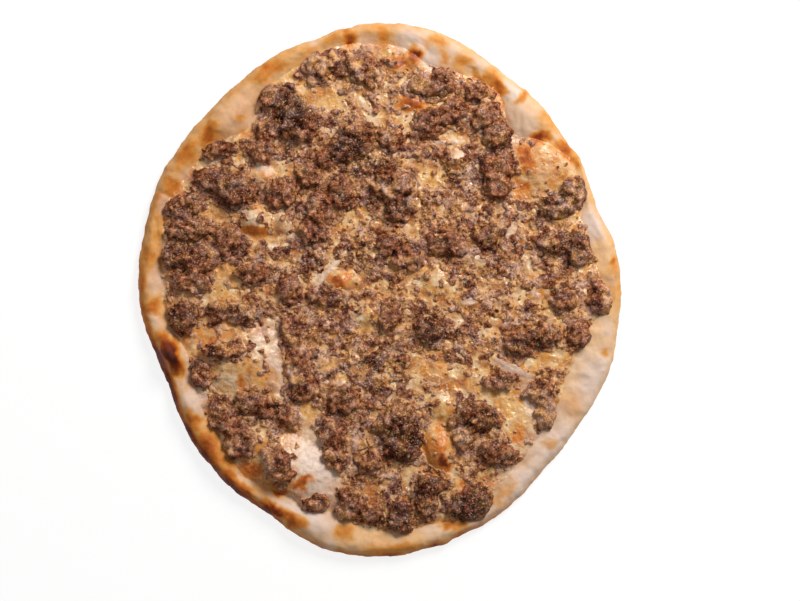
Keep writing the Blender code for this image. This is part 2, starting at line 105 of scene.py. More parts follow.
# ---- Where the oven and the baker left their marks, with some painted light and shade ----
# Each is x, y, half length, half width, turn, and its strength in hundredths.
TOASTED = [
    # on the crust, from the top round to the left
    (-17, 142, 6, 6, 0, 75), (-27, 142, 5, 4, 0, 45), (-43, 133, 6, 4, 30, 35),
    (3, 145, 6, 5, 0, 55), (33, 140, 9, 4, -15, 45), (36, 133, 4, 6, -15, 40),
    (48, 130, 6, 5, 0, 45), (56, 122, 8, 3, -35, 50), (64, 121, 5, 6, 0, 55),
    (80, 109, 5, 3, 20, 60), (-63, 125, 14, 7, 35, 60), (-98, 87, 9, 5, 45, 65),
    (-110, 76, 12, 6, 55, 56), (-76, 88, 6, 4, 50, 45), (-79, 98, 5, 2, 10, 40),
    (-88, 117, 18, 3, 42, 45), (-107, 97, 12, 3, 50, 42), (-128, 50, 12, 5, 70, 40),
    (-131, 20, 8, 6, 80, 55), (-128, 34, 5, 8, 0, 40), (-119, 59, 8, 6, -30, 56),
    (-93, 108, 6, 4, 45, 35), (-129, -10, 7, 5, 5, 60), (-132, -24, 4, 7, 0, 45),
    (-119, -35, 6, 12, 28, 92), (-117, -40, 4, 9, 28, 100), (-107, -74, 9, 6, -55, 60),
    (-96, -86, 10, 6, -55, 55), (-87, -98, 8, 5, -55, 50),
    # round the long blister and along the lower edge
    (-97, -90, 14, 7, -50, 70), (-99, -99, 12, 3.5, -50, 80), (-86, -107, 10, 5, -45, 75),
    (-78, -114, 10, 4.5, -38, 70), (-65, -125, 10, 4, -33, 85), (-52, -132, 8, 3.5, -28, 70),
    (-70, -102, 10, 5, -12, 72), (-45, -109, 8, 4, 15, 78), (-55, -114, 6, 2.5, -15, 70),
    (-57, -126, 15, 5, -30, 80), (-20, -136, 6, 6, 0, 50), (-46, -138, 10, 4, -25, 35),
    # the right side
    (132, 16, 3, 4, 0, 60), (128, -35, 4, 4, 0, 50), (134, 6, 6, 20, 0, 36),
    # The marks at (12, -148) and (-40, -140) are painted shade: they darken the lower edge.
    (12, -148, 28, 6, 0, 48), (-40, -140, 18, 6, -20, 30), (110, -65, 10, 8, 0, 30),
    (96, -87, 6, 5, 0, 38), (73, -113, 10, 6, 40, 38), (66, -120, 6, 5, 40, 35),
    (62, 108, 12, 10, -40, 28), (96, 94, 12, 6, -50, 38),
    # on the topping
    (18, 106, 9, 4, 0, 85), (11, 128, 5, 4, 0, 90), (20, 133, 5, 6, 0, 85),
    (66, 115, 6, 4, -50, 70), (68, 104, 4, 6, 0, 50), (83, 75, 4, 9, 10, 85),
    (90, 86, 8, 4, 20, 78), (104, 80, 5, 7, 35, 62), (110, 73, 4, 6, 35, 62),
    (93, 70, 18, 18, 0, 38), (112, 82, 9, 14, 40, 38), (80, 58, 7, 6, 0, 62), (96, 60, 4, 4, 0, 50),
    (-70, 33, 9, 5, 10, 70), (-70, 53, 8, 4, -10, 50), (-69, 46, 5, 3, 10, 40),
    (-66, 64, 5, 3, 0, 45), (-22, 6, 5, 3.5, 15, 90), (-21, 6, 10, 7, 15, 35),
    (-94, -29, 10, 5, 20, 55), (-78, -51, 4, 6, 0, 55), (-100, -45, 6, 7, 0, 55),
    (33, -90, 9, 12, 10, 62), (36, -97, 4, 6, 25, 100), (33, -78, 5, 4, 0, 50),
    (47, -110, 4, 3, 0, 60), (60, -111, 4, 3, 0, 80), (48, -116, 3, 3, 0, 60),
    (41, -133, 8, 4, -10, 55), (78, -82, 4, 6, 0, 60), (38, -43, 6, 4, 0, 50),
    (64, -23, 6, 4, 0, 45), (43, 70, 4, 3, 0, 60), (67, 37, 3, 2, 0, 60), (88, 8, 5, 4, 0, 40),
    (-93, -20, 14, 4, 15, 50), (-64, -48, 7, 5, 0, 45), (-100, -30, 5, 6, 0, 50),
]
# Dough that stayed pale, or shows white through thin cheese. Some marks are partly painted
# light: the ridge at (-65, -29) and (-59, -44), the long blister's part at (-36, -102), and the
# crust at (121, 38), (122, -56), (100, -90), (82, -110) and (60, -128). Those on the small bubbles
# at (51, -6), (56, 18), (46, 77), (74, 34), (-72, 41) and (-55, 38) are painted highlights.
PALE = [
    (-65, -29, 8, 11, -20, 40), (-59, -44, 4, 16, 9, 60), (-84, -52, 10, 6, 0, 20),
    (-36, -102, 13, 20, 12, 90), (-46, -128, 22, 8, -18, 90), (80, 96, 9, 18, 10, 45),
    (94, 68, 6, 7, 0, 30), (-72, 41, 4, 6, 25, 30), (-55, 38, 4, 5, 0, 25),
    (-80, 101, 15, 9, 45, 32), (-106, -64, 7, 10, -10, 70), (51, -6, 3.5, 1.8, 20, 60),
    (56, 18, 3.5, 2.5, -50, 50), (46, 77, 4, 3, 30, 50), (74, 34, 5, 4, 20, 50),
    (-66, 68, 6, 3, 0, 60), (74, -45, 12, 2.2, -25, 80), (-126, 6, 5, 8, 0, 50),
    (-118, 64, 6, 7, -30, 25), (-7, 141, 5, 5, 0, 40), (18, 142, 9, 7, 0, 80),
    (28, 131, 8, 6, -15, 80), (40, 136, 6, 6, 0, 50), (74, 112, 5, 6, 0, 90),
    (-113, 66, 6, 6, -30, 25), (-94, 73, 6, 4, 0, 40), (-128, -18, 5, 5, 0, 45),
    (121, 38, 5, 9, 10, 90), (100, -90, 20, 14, 45, 80), (82, -110, 18, 10, 45, 90),
    (122, -56, 12, 22, -15, 80), (60, -128, 12, 12, 30, 50), (10, -146, 40, 6, 0, 15),
    (87, -64, 4, 10, 25, 80),
]
# Pools of plain cheese, with little meat in them.
CHEESE_POOLS = [
    (-37, 111, 11, 8, -20, 100), (-29, 111, 7, 6, 0, 70), (-13, 106, 8, 4, 0, 30),
    (-2, 97, 7, 6, 0, 40), (14, 96, 8, 7, 0, 60), (30, 107, 10, 4, 0, 60), (20, 116, 10, 5, 0, 100),
    (-24, -126, 8, 5, 0, 100), (-69, -99, 5, 9, 0, 100), (92, -69, 9, 9, 0, 100),
    (43, 86, 10, 5, 0, 70), (-46, 80, 8, 4, 20, 40), (-56, 68, 10, 5, 10, 80),
    (26, 64, 8, 9, -50, 70), (18, 34, 8, 5, 0, 60), (-22, 38, 8, 6, 0, 50), (-28, 29, 6, 5, 0, 40),
    (-8, 40, 6, 7, 0, 30), (-88, 6, 9, 7, 0, 70), (-69, 31, 7, 5, 0, 50), (-94, 42, 9, 6, 10, 70),
    (-31, 9, 5, 6, -35, 15), (-100, -3, 14, 6, 0, 80), (-90, -4, 8, 7, 0, 90),
    (-33, -30, 7, 8, 0, 35), (-19, -45, 10, 6, 0, 30), (-42, -72, 7, 10, 20, 80),
    (4, -64, 8, 5, 30, 40), (-3, -76, 5, 8, 0, 60), (20, -45, 8, 6, 0, 60), (36, -74, 8, 8, 0, 80),
    (42, -81, 6, 9, 0, 100), (85, -61, 8, 6, 0, 100), (36, -48, 12, 6, 0, 30),
    (-8, -113, 7, 6, 0, 70), (22, -102, 6, 5, 0, 50), (37, -120, 6, 8, 0, 20),
    (76, -62, 14, 9, 0, 100), (60, -57, 12, 4, -10, 90), (77, -74, 8, 8, 0, 80),
    (97, -38, 10, 6, 0, 90), (100, -15, 12, 6, 0, 70), (83, -3, 12, 5, 0, 50),
    (118, 15, 6, 10, 0, 50), (112, 38, 6, 6, 0, 70), (100, 60, 8, 6, 30, 80),
    (30, 0, 14, 7, -20, 60), (12, -6, 10, 6, 0, 20), (-6, -17, 7, 5, 0, 80), (22, 8, 12, 6, 0, 70),
    (-84, -52, 14, 8, 0, 80), (-72, -48, 8, 10, 0, 80), (-85, 70, 10, 6, 0, 30),
    (-60, 121, 12, 5, 30, 80), (-66, -92, 5, 14, 15, 100), (-50, -82, 10, 5, 20, 90),
]
# Where the sprinkled meat lies thick between the heaps.
THICK_CARPET = [
    (-18, 96, 14, 9, 0, 100), (-8, 73, 14, 8, 0, 100), (52, 61, 10, 7, 0, 100),
    (-10, 20, 14, 10, 0, 100), (-40, 15, 13, 8, 0, 100), (-66, 22, 10, 6, 0, 100),
    (-62, 44, 6, 5, 0, 90), (-20, -30, 50, 30, 0, 90), (-15, -75, 35, 35, 0, 90),
    (-8, -108, 22, 20, 0, 80), (60, 10, 60, 40, 0, 80), (30, 60, 60, 50, 0, 80),
    (50, -20, 40, 20, 0, 70), (-105, 25, 25, 32, 0, 90), (-70, 15, 30, 20, 0, 70),
    (-30, 55, 40, 35, 0, 80), (40, 105, 40, 16, -20, 80), (100, 10, 28, 45, 0, 90),
    (-20, 122, 30, 12, 0, 70), (-55, 90, 25, 25, 0, 70), (-78, -70, 28, 22, -20, 80),
    (45, -85, 30, 20, 0, 60), (20, -120, 40, 16, 0, 60),
]
# The darkest meat, fried longest.
DARK_MEAT = [
    # The mark at (-8, 72) is partly painted shade: it also darkens a spot where cheese lies in
    # shadow.
    (-8, 72, 13, 8, 0, 100), (-18, 98, 8, 6, 0, 60), (52, 61, 8, 6, 0, 70), (-10, 20, 10, 8, 0, 60),
    (-40, 14, 10, 6, 0, 60), (-26, 18, 7, 5, 0, 60), (-49, 102, 12, 12, 0, 100),
    (-83, 57, 15, 12, -25, 50), (-15, 80, 13, 10, 0, 90), (67, 87, 10, 9, 0, 40),
    (43, 68, 10, 9, 0, 70), (60, 30, 10, 9, 0, 60), (98, 47, 14, 10, 0, 80),
    (-112, 22, 10, 9, 0, 70), (28, -22, 10, 10, 0, 80), (12, -84, 14, 14, 0, 90),
    (53, -72, 14, 11, 0, 50), (52, -122, 14, 10, 0, 100), (26, -114, 12, 10, 0, 70),
    (11, -130, 10, 10, 0, 80), (124, -10, 6, 8, 0, 30), (-113, -18, 10, 12, 0, 60),
    (105, 25, 14, 10, 0, 70), (-76, -15, 10, 7, 0, 50), (10, 48, 16, 6, 0, 70),
    (88, -30, 14, 6, 0, 60), (-4, -45, 18, 12, 0, 70),
]
# Meat that the cheese ran over.
FILMED_MEAT = [
    (121, -5, 8, 10, 0, 100), (-68, 103, 6, 9, 0, 120), (-20, 127, 22, 12, 0, 120),
    (108, 52, 18, 14, 20, 90), (100, 24, 20, 12, 0, 60), (66, 90, 12, 10, 0, 30),
    (8, 62, 14, 10, 0, 60), (6, 86, 8, 8, 0, 40), (-77, -14, 14, 10, 0, 90),
    (-15, -90, 22, 20, 0, 40), (-44, -42, 12, 24, 10, 80), (70, 12, 26, 18, 0, 50),
    (80, -14, 20, 12, 0, 60), (53, -70, 12, 10, 0, 50), (-82, -94, 12, 6, -20, 50),
    (-16, -116, 8, 8, 0, 40),
]
# Streaks of white cheese that ran together, from point to point: x, y, x, y, half width, strength.
STREAKS = [
    (-20, 21, -24, 16, 0.8, 0.8), (-24, 16, -31, 9, 1, 0.9), (-31, 9, -35, 2, 0.9, 0.9),
    (-35, 2, -38, -5, 0.8, 0.7), (-29, 12, -38, 5, 0.6, 0.6), (-45, 36, -49, 30, 1.4, 0.7),
    (-49, 30, -54, 24, 0.9, 0.4), (-62, 24, -52, 26, 0.7, 0.4), (12, 18, 24, 15, 1.2, 0.6),
    (52, 44, 56, 32, 1.2, 0.6), (66, -40, 84, -49, 1.4, 0.7), (-30, -52, -16, -54, 1.1, 0.6),
    (6, -60, 4, -74, 1.2, 0.6), (-52, -62, -43, -73, 1.2, 0.7), (30, 83, 46, 84, 1.2, 0.7),
    (-26, 116, -18, 110, 0.9, 0.5), (-12, 108, -4, 100, 1.2, 0.6), (78, 8, 90, -4, 1.2, 0.5),
    (-92, -30, -84, -34, 1.2, 0.6),
]
# Creases in the dough, from point to point: x, y, x, y, half width, depth.
CREASES = [
    (-127, 57, -118, 52, 1.2, 1.2), (-134, -17, -126, -19, 1.2, 0.6),
    (-132, -14, -126, -15, 1, 0.5), (-127, 40, -124, 12, 1.1, 0.8),
    (-84, -112, -79, -106, 1.6, 1.6), (-80, -106, -60, -112, 2, 2.2),
    (-60, -112, -50, -117, 1.8, 2), (-50, -117, -41, -127, 1.8, 1.4), (81, 118, 79, 90, 1.1, 0.4),
    (70, 107, 78, 108, 1.4, 0.6), (-72, 104, -68, 94, 1, 0.6), (58, -109, 75, -103, 1.3, 0.7),
    (75, -103, 90, -93, 1.3, 0.7), (-112, 66, -110, 56, 1.4, 0.7),
]

# ---- Fineness of the meshes ----
DOUGH_SPOKES = 800
TOPPING_RINGS, CRUST_RINGS, UNDER_RINGS = 45, 44, 14
CHEESE_CELLS = 280  # along each side of the grid that is rounded into the cheese
HEAP_VOXEL, CARPET_VOXEL = 0.00090, 0.00072

# In degrees: where the crust's side and its rim get painted shade, and the side where the crust is
# browner on the whole, partly real browning and partly painted shade.
SHADED_SIDE, SHADED_RIMS, BROWNER_AND_SHADED_SIDE = 232, (188, 215), 165

CHEESE_THICKNESS = 0.0015
CHEESE_EDGE_SINKS = 0.0004  # into the dough, so that the cheese has no visible rim
CHEESE_FADE = 0.006  # how far from its edge the cheese has its full thickness
THINNEST_CHEESE = 0.0004
UNSEEN_DEPTH = 0.0004  # meat deeper than this in the cheese doesn't show
BARE_RIM = 0.0015  # of the topping, where no crumb lies
CRUMBS_FALL = 0.003  # as far as this from the heaps


# ---- Measures of the form ----
def swelling(degrees, swells):
    """The sum of rounded swells in each direction."""
    total = 0.0
    for direction, change, half_width in swells:
        away = (degrees - direction + 180) % 360 - 180
        total = total + change * MM * np.exp(-((away / half_width) ** 2))
    return total


def edge_radius(angle):
    oval = -LENGTHENING * np.cos(2 * angle) + SQUARENESS * np.cos(4 * angle)
    return MEAN_RADIUS + oval + swelling(np.degrees(angle), OUTLINE_SWELLS)


def crust_width(angle):
    return CRUST_WIDTH + swelling(np.degrees(angle), CRUST_WIDTH_SWELLS)


def topping_radius(angle):
    return edge_radius(angle) - crust_width(angle)


def outline_middle():
    """The middle of the bread's box, seen from the point that its outline is drawn from."""
    angle = np.linspace(-math.pi, math.pi, DOUGH_SPOKES, endpoint=False)
    x, y = edge_radius(angle) * np.cos(angle), edge_radius(angle) * np.sin(angle)
    return (x.min() + x.max()) / 2, (y.min() + y.max()) / 2


MIDDLE = outline_middle()


def oval_distance(x, y, oval):
    """0 in an oval's middle and 1 on its edge."""
    middle_x, middle_y, half_length, half_width = (value * MM for value in oval[:4])
    turn = math.radians(oval[4])
    dx, dy = x - middle_x, y - middle_y
    along = dx * math.cos(turn) + dy * math.sin(turn)
    across = dy * math.cos(turn) - dx * math.sin(turn)
    return np.hypot(along / half_length, across / half_width)


def smooth_step(value, low, high_and_lit):
    share = np.clip((value - low) / (high_and_lit - low), 0, 1)
    return share * share * (3 - 2 * share)


def marks(x, y, places, softness):
    """The strongest mark at each point: full in a place's middle, fading out across its edge."""
    field = np.zeros(np.shape(x))
    for place in places:
        fading = smooth_step(oval_distance(x, y, place), 1 + softness, 1 - softness)
        field = np.maximum(field, place[5] / 100 * fading)
    return field


def ripple(x, y, length, offset):
    """Smooth noise from -1 to 1 whose waves are about as long as length."""
    return np.array([noise.noise(Vector((a / length, b / length, offset))) for a, b in zip(x, y)])


def wandered(x, y):
    """The points moved about a little, so that what is drawn as an oval gets a ragged edge."""
    far_x = x + 0.0036 * ripple(x, y, 0.009, 31.0) + 0.0020 * ripple(x, y, 0.003, 32.0)
    far_y = y + 0.0036 * ripple(x, y, 0.009, 33.0) + 0.0020 * ripple(x, y, 0.003, 34.0)
    return far_x, far_y


def blister_height(x, y):
    """How far the blisters lift the dough. Where two meet, they run into each other."""
    cubes = np.zeros(np.shape(x))
    for blister in BLISTERS:
        share = np.maximum(0.0, 1 - oval_distance(x, y, blister) ** 2)
        cubes = cubes + (blister[5] * MM * share**1.4) ** 3
    return np.cbrt(cubes)


def lines(x, y, places):
    """The strongest line at each point: full in a line's middle, fading out to its sides."""
    field = np.zeros(len(x))
    for line in places:
        ax, ay, bx, by, half_width = (value * MM for value in line[:5])
        length = math.hypot(bx - ax, by - ay)
        along = np.clip(((x - ax) * (bx - ax) + (y - ay) * (by - ay)) / length**2, 0, 1)
        away = np.hypot(x - ax - along * (bx - ax), y - ay - along * (by - ay))
        field = np.maximum(field, line[5] * np.exp(-((away / half_width) ** 2)))
    return field


def streaks(x, y):
    ragged_x = x + 0.0009 * ripple(x, y, 0.0035, 51.0)
    ragged_y = y + 0.0009 * ripple(x, y, 0.0035, 52.0)
    return lines(ragged_x, ragged_y, STREAKS)


# ---- Working on meshes ----
def deselect():
    bpy.ops.object.select_all(action="DESELECT")


def take(piece):
    """Makes a piece the only one selected and the active one."""
    deselect()
    piece.select_set(True)
    bpy.context.view_layer.objects.active = piece


def corners_of(piece):
    co = np.empty(len(piece.data.vertices) * 3)
    piece.data.vertices.foreach_get("co", co)
    return co.reshape(-1, 3)


def move_corners(piece, co):
    piece.data.vertices.foreach_set("co", np.ascontiguousarray(co, np.float32).ravel())
    piece.data.update()


def note(piece, name, values):
    """Keeps a number for each corner of a piece, for its material to read."""
    attributes = piece.data.attributes
    attribute = attributes.get(name) or attributes.new(name, "FLOAT", "POINT")
    attribute.data.foreach_set("value", np.ascontiguousarray(values, np.float32))


def modify(piece, kind, **settings):
    """Gives a piece a modifier with these settings and applies it."""
    take(piece)
    bpy.ops.object.modifier_add(type=kind)
    modifier = piece.modifiers[-1]
    for name, value in settings.items():
        setattr(modifier, name, value)
    bpy.ops.object.modifier_apply(modifier=modifier.name)


def give_relief(piece, reliefs, area=()):
    """Pushes a piece's surface in and out along its normals, by clouds of each size and height.
    The area holds a share for each corner. Without it the relief is full all over."""
    group = piece.vertex_groups.new(name="area") if len(area) else None
    for index, share in enumerate(area):
        if share > 0.01:
            group.add([index], float(share), "REPLACE")
    for size, height in reliefs:
        clouds = bpy.data.textures.new(piece.name + "_relief", "CLOUDS")
        clouds.noise_scale = size
        where = "area" if len(area) else ""
        modify(piece, "DISPLACE", texture=clouds, strength=height, vertex_group=where)
    piece.vertex_groups.clear()


def standing_out(piece, passes=10):
    """How far each corner stands out from the smoothed surface round it, in metres."""
    co = corners_of(piece)
    ends = np.empty(len(piece.data.edges) * 2, np.int32)
    piece.data.edges.foreach_get("vertices", ends)
    here, there = np.concatenate([ends[::2], ends[1::2]]), np.concatenate([ends[1::2], ends[::2]])
    neighbours = np.maximum(np.bincount(here, minlength=len(co)), 1)
    soft = co.copy()
    for _ in range(passes):
        sums = [np.bincount(here, soft[there, k], len(co)) for k in range(3)]
        soft = np.column_stack(sums) / neighbours[:, None]
    normals = np.empty(len(co) * 3)
    piece.data.vertices.foreach_get("normal", normals)
    return ((co - soft) * normals.reshape(-1, 3)).sum(1)


def thin_out(piece, chosen, ratio):
    """Leaves that ratio of the faces among the chosen corners of a piece, where nothing shows."""
    data = piece.data
    data.vertices.foreach_set("select", chosen)
    for parts in (data.edges, data.polygons):
        parts.foreach_set("select", np.zeros(len(parts), bool))
    take(piece)
    bpy.ops.object.mode_set(mode="EDIT")
    bpy.ops.mesh.select_mode(type="VERT")
    bpy.ops.mesh.decimate(ratio=ratio)
    bpy.ops.object.mode_set(mode="OBJECT")
    # A lump that shrank to the two sides of one face goes.
    data.validate()
    bpy.ops.object.mode_set(mode="EDIT")
    bpy.ops.mesh.select_all(action="SELECT")
    bpy.ops.mesh.delete_loose(use_faces=True)
    bpy.ops.object.mode_set(mode="OBJECT")


def settle(piece, material, nodes=()):
    """Moves a finished piece into the frame and hands it over."""
    take(piece)
    piece.location = (-MIDDLE[0], -MIDDLE[1], 0)
    bpy.ops.object.transform_apply(location=True, rotation=True, scale=True)
    bpy.ops.object.shade_smooth()
    piece.data.materials.clear()
    piece.data.materials.append(material)
    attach(piece, "root")
    if nodes:
        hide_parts(*nodes)


def height_of(piece):
    """A function that gives the height of a piece's top at each point, and -1 beside the piece."""
    bpy.context.view_layer.update()
    tree = BVHTree.FromObject(piece, bpy.context.evaluated_depsgraph_get())
    down, above = Vector((0, 0, -1)), 0.1

    def heights(x, y):
        hits = [tree.ray_cast(Vector((a, b, above)), down)[0] for a, b in zip(x, y)]
        return np.array([hit.z if hit else -1.0 for hit in hits])

    return heights


# ---- The bread ----
def rounded_chain(radii, heights, count, rounding):
    """(radius, height) at even steps along a chain of points, with the corners rounded off."""
    steps = np.hypot(np.diff(radii), np.diff(heights))
    length = np.concatenate([[0], np.cumsum(steps)])
    fine = np.linspace(0, length[-1], 160)
    reach = max(1, round(rounding / length[-1] * 160))
    window = np.ones(2 * reach + 1) / (2 * reach + 1)
    chains = []
    for values in (radii, heights):
        along = np.interp(fine, length, values)
        start, end = along[1] - along[0], along[-1] - along[-2]
        before = along[0] - start * np.arange(reach, 0, -1)
        after = along[-1] + end * np.arange(1, reach + 1)
        soft = np.convolve(np.concatenate([before, along, after]), window, "valid")
        chains.append(np.interp(np.linspace(0, length[-1], count), fine, soft))
    return chains


def dough_profile(angle):
    """(radius, height) of every ring of the bread in one direction, from its top to its underside."""
    edge, width = float(edge_radius(angle)), float(crust_width(angle))
    fullness = min(1.0, width / FULL_CRUST)
    rise = CREST_RISE + float(swelling(math.degrees(angle), CREST_RISE_SWELLS))
    crest = DOUGH_THICKNESS + rise * fullness
    inner = edge - width - SLOPE
    radii = [inner, inner + SLOPE / 2] + [edge - width * (1 - out) for out, share in CRUST_TOP]
    heights = [DOUGH_THICKNESS, DOUGH_THICKNESS] + [crest * share for out, share in CRUST_TOP]
    radii += [edge - inside * fullness for inside, share in CRUST_SIDE]
    heights += [crest * share for inside, share in CRUST_SIDE]
    radii.append(edge - FOOT)
    heights.append(0.0)
    crust_radii, crust_heights = rounded_chain(radii, heights, CRUST_RINGS, CORNER)
    top = np.linspace(0, inner, TOPPING_RINGS, endpoint=False)
    under = np.linspace(edge - FOOT, 0, UNDER_RINGS + 1)[1:]
    radius = np.concatenate([top, crust_radii, under])
    height = np.concatenate([top * 0 + DOUGH_THICKNESS, crust_heights, under * 0])
    return radius, height


def bake_bread():
    """The bread: a ball of dough pressed flat, its crust pinched up and its blisters blown."""
    rings = TOPPING_RINGS + CRUST_RINGS + UNDER_RINGS - 1
    bpy.ops.mesh.primitive_uv_sphere_add(
        segments=DOUGH_SPOKES, ring_count=rings, radius=MEAN_RADIUS, location=(0, 0, 0)
    )
    bread = bpy.context.object
    bread.name = bread.data.name = "baked_bread"
    ball = corners_of(bread)
    ring = np.rint(np.arccos(np.clip(ball[:, 2] / MEAN_RADIUS, -1, 1)) / math.pi * rings).astype(int)
    turn = np.arctan2(ball[:, 1], ball[:, 0])
    spoke = np.rint(turn / math.tau * DOUGH_SPOKES).astype(int) % DOUGH_SPOKES
    angles = np.arange(DOUGH_SPOKES) / DOUGH_SPOKES * math.tau
    profiles = np.array([dough_profile(angle) for angle in angles])
    radius, height = profiles[spoke, 0, ring], profiles[spoke, 1, ring]
    x, y = radius * np.cos(angles[spoke]), radius * np.sin(angles[spoke])
    puffed = np.clip(height / DOUGH_THICKNESS, 0, 1) ** 0.7
    wave = DOUGH_WAVE * ripple(x, y, DOUGH_WAVELENGTH, 3.0)
    z = height + puffed * (blister_height(x, y) + wave - MM * lines(x, y, CREASES))
    under = ring >= TOPPING_RINGS + CRUST_RINGS
    dimple = 0.5 + 0.5 * ripple(x, y, 0.011, 5.0)
    z = np.where(under, UNDERSIDE_DIMPLES * dimple * smooth_step(radius, edge_radius(0.0), 0.1), z)
    move_corners(bread, np.column_stack([x, y, z]))
    crust = smooth_step(radius, topping_radius(angles[spoke]) - SLOPE, topping_radius(angles[spoke]))
    side = smooth_step(z, 0.0, 0.003)
    give_relief(bread, CRUST_RELIEFS, crust * side)
    return bread, ring


def colour_bread(bread, ring):
    """Notes how far each spot of the dough is toasted and how pale it stayed."""
    x, y, z = corners_of(bread).T
    angle, radius = np.arctan2(y, x), np.hypot(x, y)
    inside = edge_radius(angle) - radius
    far_x, far_y = wandered(x, y)
    toasted = marks(far_x, far_y, TOASTED, 0.8)
    # The crust's side is golden all round, and darker towards the lower left, where the darkening is
    # painted shade.
    browned_and_shaded = 0.30 + 0.70 * smooth_step(np.cos(angle - math.radians(SHADED_SIDE)), 0.0, 0.75)
    browning = 0.62 + 0.25 * ripple(x, y, 0.009, 43.0)
    golden_and_shaded_side = browning * browned_and_shaded * smooth_step(inside, 0.0090, 0.0015)
    golden_and_shaded_side = golden_and_shaded_side * smooth_step(z, 0.0120, 0.006)
    # Painted shade: the rim is darkened at the lower left, and less so further up on the left.
    west, south_west = (np.cos(angle - math.radians(turn)) for turn in SHADED_RIMS)
    shaded_rim = np.maximum(0.62 * smooth_step(west, 0.93, 0.98), 0.85 * smooth_step(south_west, 0.82, 0.95))
    shaded_rim = shaded_rim * smooth_step(inside + 0.002 * ripple(x, y, 0.012, 44.0), 0.0080, 0.0020)
    # The crust is browner on the left and paler on the right: partly real browning, partly painted
    # shade on the left and painted light on the right.
    heat = 0.5 + 0.5 * np.cos(angle - math.radians(BROWNER_AND_SHADED_SIDE))
    tone = 0.10 + 0.25 * heat + 0.10 * ripple(x, y, 0.022, 1.0) + 0.06 * ripple(x, y, 0.008, 2.0)
    under = ring >= TOPPING_RINGS + CRUST_RINGS
    base = 0.42 + 0.30 * ripple(x, y, 0.030, 4.0) + 0.25 * ripple(x, y, 0.010, 6.0)
    # Down its side the crust takes on the underside's colour.
    down = np.where(under, 1.0, smooth_step(z, 0.0035, 0.0005))
    toast = (1 - down) * np.maximum.reduce([toasted, golden_and_shaded_side, shaded_rim, tone]) + down * base
    floury = 0.45 * smooth_step(ripple(x, y, 0.020, 41.0) + 0.5 * ripple(x, y, 0.007, 42.0), 0.0, 0.5)
    pale = np.maximum(marks(far_x, far_y, PALE, 0.7), floury)
    pale = pale * smooth_step(np.maximum(toasted, shaded_rim), 0.45, 0.15)
    pale = np.where(under, 0.0, pale * smooth_step(z, 0.003, 0.0075))
    note(bread, "toast", np.clip(toast, 0, 1))
    note(bread, "pale", np.clip(pale, 0, 1))


# ---- The cheese ----
def mince_share(x, y):
    """How thickly the sprinkled meat lies at each point, from 0 to 1."""
    angle, radius = np.arctan2(y, x), np.hypot(x, y)
    inside = topping_radius(angle) + 0.0015 * ripple(x, y, 0.010, 11.0) - radius
    far_x, far_y = wandered(x, y)
    carpet = 0.42 + 0.405 * marks(x, y, THICK_CARPET, 0.4)
    carpet = carpet + 0.25 * ripple(x, y, 0.013, 7.0) + 0.15 * ripple(x, y, 0.006, 8.0)
    carpet = carpet * (1 - 0.85 * marks(far_x, far_y, CHEESE_POOLS, 0.45))
    carpet = carpet * (1 - 0.97 * marks(far_x, far_y, PALE, 0.35))
    carpet = carpet * (1 - 0.8 * marks(far_x, far_y, TOASTED, 0.4)) * (1 - streaks(x, y))
    return np.clip(carpet, 0, 1) * smooth_step(inside, 0.001, 0.005)


def grainy(x, y):
    """The lumps of the meat that is sunk in the cheese, from 0 to 1."""
    coarse = np.maximum(0, ripple(x, y, 0.0040, 13.0) + 0.25)
    fine = np.maximum(0, ripple(x, y, 0.0023, 14.0) + 0.15)
    return np.clip(0.7 * coarse + 0.6 * fine, 0, 1)


def melt_cheese(bread):
    """The cheese: a grid rounded into the topping's outline, melted down on the bread."""
    bpy.ops.mesh.primitive_grid_add(
        x_subdivisions=CHEESE_CELLS, y_subdivisions=CHEESE_CELLS, size=2, location=(0, 0, 0)
    )
    cheese = bpy.context.object
    cheese.name = cheese.data.name = "melted_cheese"
    u, v = corners_of(cheese)[:, :2].T
    # Squares about the grid's middle become rings.
    wide = np.abs(u) >= np.abs(v)
    ring = np.where(wide, u, v)
    safe = np.where(np.abs(ring) < 1e-9, 1.0, ring)
    turn = np.where(wide, v / safe * math.pi / 4, math.pi / 2 - u / safe * math.pi / 4)
    unit_x, unit_y = ring * np.cos(turn), ring * np.sin(turn)
    angle, share = np.arctan2(unit_y, unit_x), np.hypot(unit_x, unit_y)
    ragged = 0.0016 * ripple(np.cos(angle), np.sin(angle), 0.11, 9.0)
    ragged = ragged + 0.0009 * ripple(np.cos(angle), np.sin(angle), 0.035, 10.0)
    radius = share * (topping_radius(angle) + ragged)
    x, y = radius * np.cos(angle), radius * np.sin(angle)
    dough = height_of(bread)(x, y)

    reach = topping_radius(angle) + ragged - radius
    full = smooth_step(reach, 0, CHEESE_FADE)
    bare = marks(x, y, PALE, 0.5)
    thick = CHEESE_THICKNESS * (1 - 0.75 * bare)
    thick = thick + 0.0005 * ripple(x, y, 0.016, 8.0) + 0.0004 * ripple(x, y, 0.006, 12.0)
    thick = thick + 0.00025 * ripple(x, y, 0.0032, 17.0) + 0.0008 * streaks(x, y)
    lumps = 0.0013 * grainy(x, y) * mince_share(x, y)
    thick = np.maximum(thick, THINNEST_CHEESE) + lumps + GAP
    top = dough - CHEESE_EDGE_SINKS + (thick + CHEESE_EDGE_SINKS) * full
    move_corners(cheese, np.column_stack([x, y, top]))

    # Solidify closes the sheet. Its lower side is baked into the dough and needs few faces.
    modify(cheese, "SOLIDIFY", thickness=THINNEST_CHEESE)
    co = corners_of(cheese)
    lower = slice(len(x), len(co))
    co[lower] = np.column_stack([x, y, dough - 2 * CHEESE_EDGE_SINKS])
    move_corners(cheese, co)
    hidden = np.zeros(len(co), bool)
    hidden[lower] = reach > 0.002
    thin_out(cheese, hidden, 0.12)
    return cheese


